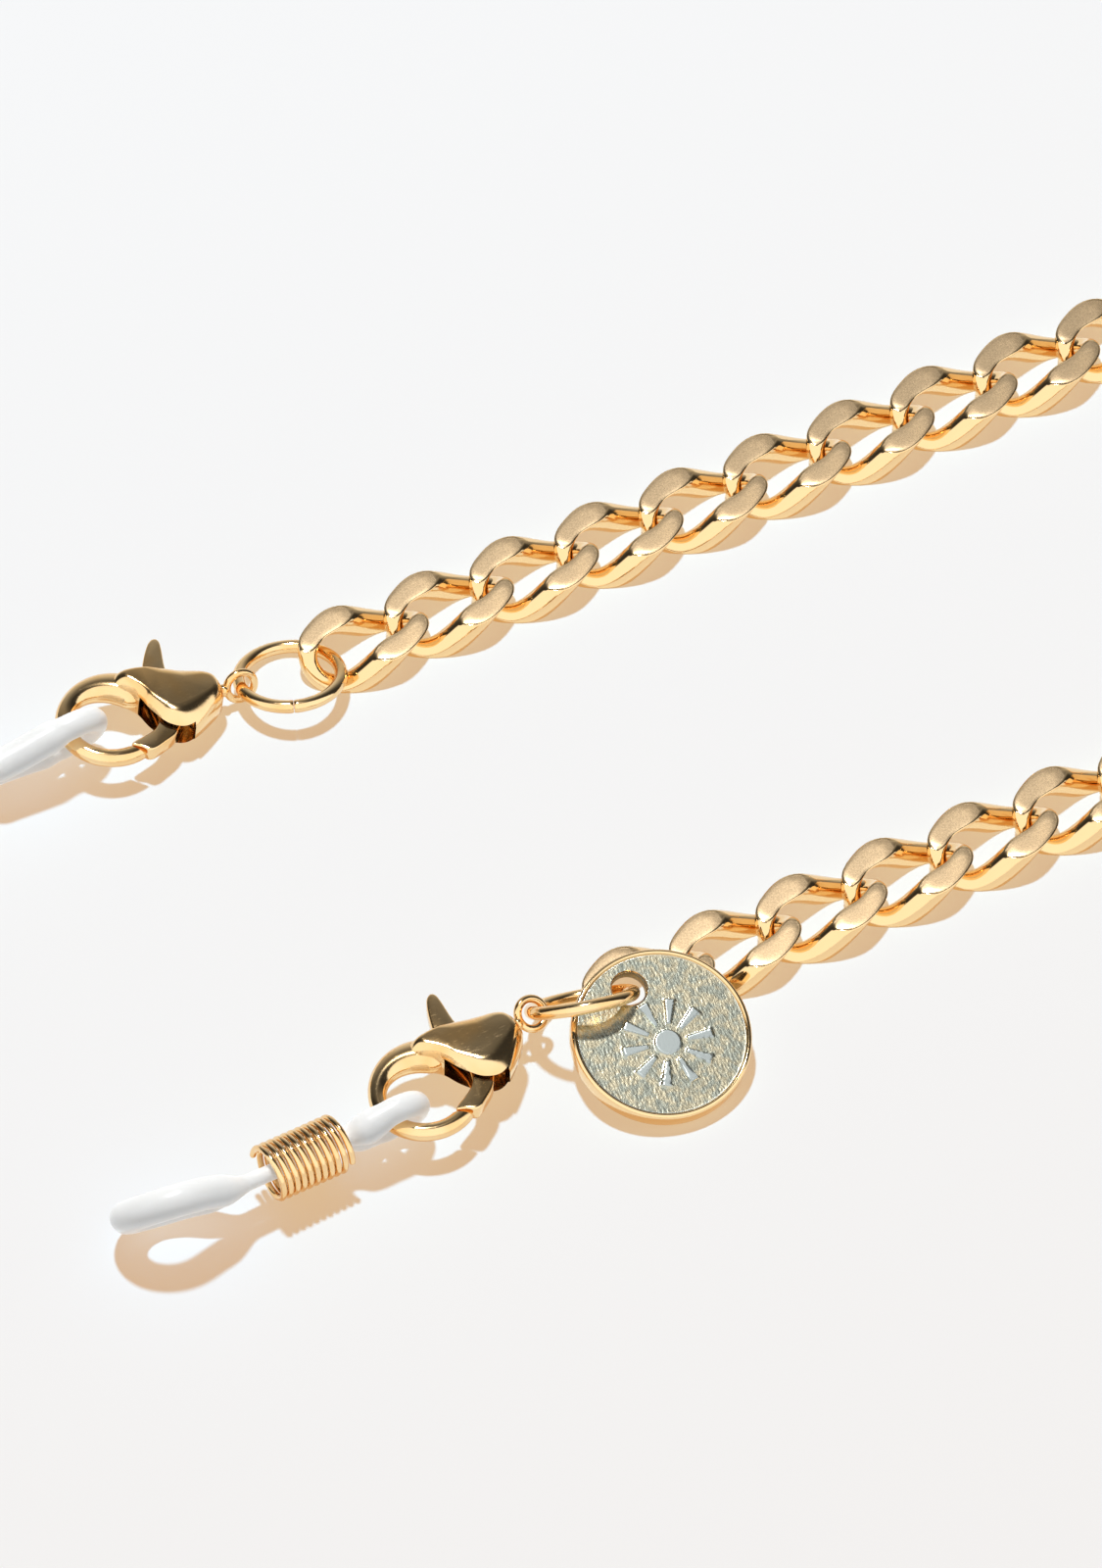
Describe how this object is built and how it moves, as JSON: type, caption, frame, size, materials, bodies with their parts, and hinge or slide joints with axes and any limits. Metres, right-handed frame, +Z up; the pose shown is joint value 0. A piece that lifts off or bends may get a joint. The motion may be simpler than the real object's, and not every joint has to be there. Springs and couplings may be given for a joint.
{
  "type": "eyeglasses chain strap",
  "caption": "Gold curb chain strap for eyeglasses: swivel lobster clasps, jump rings, silicone temple loops with wound grips, and a round charm.",
  "frame": {"origin": "bottom centre of the laid-out strap, measured without its stored middle", "axes": "+X along the chain, from the temple loops to the stored coil; +Z up"},
  "size_m": [0.1937, 0.0715, 0.007],
  "materials": {
    "polished_gold": "polished gold plate with a fine brushed grain on the flats",
    "satin_gold": "satin pale gold plate, finely grained",
    "spring_steel": "plain",
    "silicone": "translucent milky silicone, satin"
  },
  "bodies": {
    "stored_chain": {"stored_chain": "polished_gold"},
    "upper_link_11": {"upper_link_11": "polished_gold"},
    "upper_link_10": {"upper_link_10": "polished_gold"},
    "upper_link_09": {"upper_link_09": "polished_gold"},
    "upper_link_08": {"upper_link_08": "polished_gold"},
    "upper_link_07": {"upper_link_07": "polished_gold"},
    "upper_link_06": {"upper_link_06": "polished_gold"},
    "upper_link_05": {"upper_link_05": "polished_gold"},
    "upper_link_04": {"upper_link_04": "polished_gold"},
    "upper_link_03": {"upper_link_03": "polished_gold"},
    "upper_link_02": {"upper_link_02": "polished_gold"},
    "upper_link_01": {"upper_link_01": "polished_gold"},
    "upper_ring": {"upper_jump_ring": "polished_gold"},
    "upper_eye": {"upper_clasp_swivel_eye": "polished_gold"},
    "upper_clasp": {"upper_clasp_casing": "polished_gold", "upper_clasp_pin": "spring_steel", "upper_clasp_spring": "spring_steel"},
    "upper_lever": {"upper_clasp_lever": "polished_gold"},
    "upper_loop": {"upper_silicone_loop": "silicone"},
    "upper_grip": {"upper_grip_coil": "polished_gold"},
    "lower_link_10": {"lower_link_10": "polished_gold"},
    "lower_link_09": {"lower_link_09": "polished_gold"},
    "lower_link_08": {"lower_link_08": "polished_gold"},
    "lower_link_07": {"lower_link_07": "polished_gold"},
    "lower_link_06": {"lower_link_06": "polished_gold"},
    "lower_link_05": {"lower_link_05": "polished_gold"},
    "lower_link_04": {"lower_link_04": "polished_gold"},
    "lower_link_03": {"lower_link_03": "polished_gold"},
    "lower_link_02": {"lower_link_02": "polished_gold"},
    "lower_link_01": {"lower_link_01": "polished_gold"},
    "lower_ring": {"lower_jump_ring": "polished_gold"},
    "lower_eye": {"lower_clasp_swivel_eye": "polished_gold"},
    "lower_clasp": {"lower_clasp_casing": "polished_gold", "lower_clasp_pin": "spring_steel", "lower_clasp_spring": "spring_steel"},
    "lower_lever": {"lower_clasp_lever": "polished_gold"},
    "lower_loop": {"lower_silicone_loop": "silicone"},
    "lower_grip": {"lower_grip_coil": "polished_gold"},
    "disc": {"disc_charm": "satin_gold"}
  },
  "joints": [
    {"name": "upper_link_11_turn", "type": "hinge", "parent": "stored_chain", "child": "upper_link_11", "pos_m": [0.05509, 0.02022, 0.0011], "axis": [0, 0, 1], "range_deg": [-12, 12]},
    {"name": "upper_link_10_bend", "type": "hinge", "parent": "upper_link_11", "child": "upper_link_10", "pos_m": [0.04849, 0.02022, 0.0011], "axis": [0, 1, 0], "range_deg": [-22, 22]},
    {"name": "upper_link_09_turn", "type": "hinge", "parent": "upper_link_10", "child": "upper_link_09", "pos_m": [0.04189, 0.02022, 0.0011], "axis": [0, 0, -1], "range_deg": [-12, 12]},
    {"name": "upper_link_08_bend", "type": "hinge", "parent": "upper_link_09", "child": "upper_link_08", "pos_m": [0.03529, 0.02022, 0.0011], "axis": [0, -1, 0], "range_deg": [-22, 22]},
    {"name": "upper_link_07_turn", "type": "hinge", "parent": "upper_link_08", "child": "upper_link_07", "pos_m": [0.02869, 0.02022, 0.0011], "axis": [0, 0, 1], "range_deg": [-12, 12]},
    {"name": "upper_link_06_bend", "type": "hinge", "parent": "upper_link_07", "child": "upper_link_06", "pos_m": [0.02209, 0.02022, 0.0011], "axis": [0, 1, 0], "range_deg": [-22, 22]},
    {"name": "upper_link_05_turn", "type": "hinge", "parent": "upper_link_06", "child": "upper_link_05", "pos_m": [0.01549, 0.02022, 0.0011], "axis": [0, 0, -1], "range_deg": [-12, 12]},
    {"name": "upper_link_04_bend", "type": "hinge", "parent": "upper_link_05", "child": "upper_link_04", "pos_m": [0.00889, 0.02022, 0.0011], "axis": [0, -1, 0], "range_deg": [-22, 22]},
    {"name": "upper_link_03_turn", "type": "hinge", "parent": "upper_link_04", "child": "upper_link_03", "pos_m": [0.00229, 0.02022, 0.0011], "axis": [0, 0, 1], "range_deg": [-12, 12]},
    {"name": "upper_link_02_bend", "type": "hinge", "parent": "upper_link_03", "child": "upper_link_02", "pos_m": [-0.00431, 0.02022, 0.0011], "axis": [0, 1, 0], "range_deg": [-22, 22]},
    {"name": "upper_link_01_turn", "type": "hinge", "parent": "upper_link_02", "child": "upper_link_01", "pos_m": [-0.01091, 0.02022, 0.0011], "axis": [0, 0, -1], "range_deg": [-12, 12]},
    {"name": "upper_ring_turn", "type": "hinge", "parent": "upper_link_01", "child": "upper_ring", "pos_m": [-0.01777, 0.02022, 0.0011], "axis": [0, 0, 1], "range_deg": [-10, 10]},
    {"name": "upper_clasp_lift", "type": "hinge", "parent": "upper_ring", "child": "upper_eye", "pos_m": [-0.02356, 0.02046, 0.00155], "axis": [0, 1, 0], "range_deg": [0, 30]},
    {"name": "upper_clasp_swivel", "type": "hinge", "parent": "upper_eye", "child": "upper_clasp", "pos_m": [-0.02356, 0.02046, 0.00155], "axis": [-0.9932, 0.0503, 0.1045], "continuous": true},
    {"name": "upper_lever_open", "type": "hinge", "parent": "upper_clasp", "child": "upper_lever", "pos_m": [-0.02886, 0.02093, 0.00211], "axis": [-0.1044, 0.0053, -0.9945], "range_deg": [0, 18], "stiffness_Nm_per_rad": 0.002, "springref_deg": -20},
    {"name": "upper_loop_swing", "type": "hinge", "parent": "upper_clasp", "child": "upper_loop", "pos_m": [-0.03324, 0.02095, 0.00257], "axis": [-0.1044, 0.0053, -0.9945], "range_deg": [-25, 25]},
    {"name": "upper_grip_slide", "type": "slide", "parent": "upper_loop", "child": "upper_grip", "axis": [-0.998, -0.061, 0.0175], "range_m": [0, 0.0015]},
    {"name": "lower_link_10_turn", "type": "hinge", "parent": "stored_chain", "child": "lower_link_10", "pos_m": [0.05199, -0.01478, 0.0011], "axis": [0, 0, -1], "range_deg": [-12, 12]},
    {"name": "lower_link_09_bend", "type": "hinge", "parent": "lower_link_10", "child": "lower_link_09", "pos_m": [0.04539, -0.01478, 0.0011], "axis": [0, -1, 0], "range_deg": [-22, 22]},
    {"name": "lower_link_08_turn", "type": "hinge", "parent": "lower_link_09", "child": "lower_link_08", "pos_m": [0.03879, -0.01478, 0.0011], "axis": [0, 0, 1], "range_deg": [-12, 12]},
    {"name": "lower_link_07_bend", "type": "hinge", "parent": "lower_link_08", "child": "lower_link_07", "pos_m": [0.03219, -0.01478, 0.0011], "axis": [0, 1, 0], "range_deg": [-22, 22]},
    {"name": "lower_link_06_turn", "type": "hinge", "parent": "lower_link_07", "child": "lower_link_06", "pos_m": [0.02559, -0.01478, 0.0011], "axis": [0, 0, -1], "range_deg": [-12, 12]},
    {"name": "lower_link_05_bend", "type": "hinge", "parent": "lower_link_06", "child": "lower_link_05", "pos_m": [0.01899, -0.01478, 0.0011], "axis": [0, -1, 0], "range_deg": [-22, 22]},
    {"name": "lower_link_04_turn", "type": "hinge", "parent": "lower_link_05", "child": "lower_link_04", "pos_m": [0.01239, -0.01478, 0.0011], "axis": [0, 0, 1], "range_deg": [-12, 12]},
    {"name": "lower_link_03_bend", "type": "hinge", "parent": "lower_link_04", "child": "lower_link_03", "pos_m": [0.00579, -0.01478, 0.0011], "axis": [0, 1, 0], "range_deg": [-22, 22]},
    {"name": "lower_link_02_turn", "type": "hinge", "parent": "lower_link_03", "child": "lower_link_02", "pos_m": [-0.00081, -0.01478, 0.0011], "axis": [0, 0, -1], "range_deg": [-12, 12]},
    {"name": "lower_link_01_bend", "type": "hinge", "parent": "lower_link_02", "child": "lower_link_01", "pos_m": [-0.00741, -0.01478, 0.0011], "axis": [0, -1, 0], "range_deg": [-22, 22]},
    {"name": "lower_ring_turn", "type": "hinge", "parent": "lower_link_01", "child": "lower_ring", "pos_m": [-0.01427, -0.01478, 0.0011], "axis": [0, 0, 1], "range_deg": [-8, 8]},
    {"name": "lower_clasp_turn", "type": "hinge", "parent": "lower_ring", "child": "lower_eye", "pos_m": [-0.0194, -0.01448, 0.00287], "axis": [0, 0, -1], "range_deg": [-30, 30]},
    {"name": "lower_clasp_swivel", "type": "hinge", "parent": "lower_eye", "child": "lower_clasp", "pos_m": [-0.0194, -0.01448, 0.00287], "axis": [-0.9636, -0.2672, 0], "continuous": true},
    {"name": "lower_lever_open", "type": "hinge", "parent": "lower_clasp", "child": "lower_lever", "pos_m": [-0.02461, -0.01572, 0.00287], "axis": [0, 0, -1], "range_deg": [0, 18], "stiffness_Nm_per_rad": 0.002, "springref_deg": -20},
    {"name": "lower_loop_swing", "type": "hinge", "parent": "lower_clasp", "child": "lower_loop", "pos_m": [-0.0288, -0.01709, 0.00287], "axis": [0, 0, -1], "range_deg": [-25, 25]},
    {"name": "lower_grip_slide", "type": "slide", "parent": "lower_loop", "child": "lower_grip", "axis": [-0.9976, -0.0523, 0.0454], "range_m": [0, 0.0015]},
    {"name": "disc_swing", "type": "hinge", "parent": "lower_ring", "child": "disc", "pos_m": [-0.016, -0.01529, 0.00303], "axis": [-0.1688, -0.7141, -0.6794], "range_deg": [0, 60]}
  ]
}
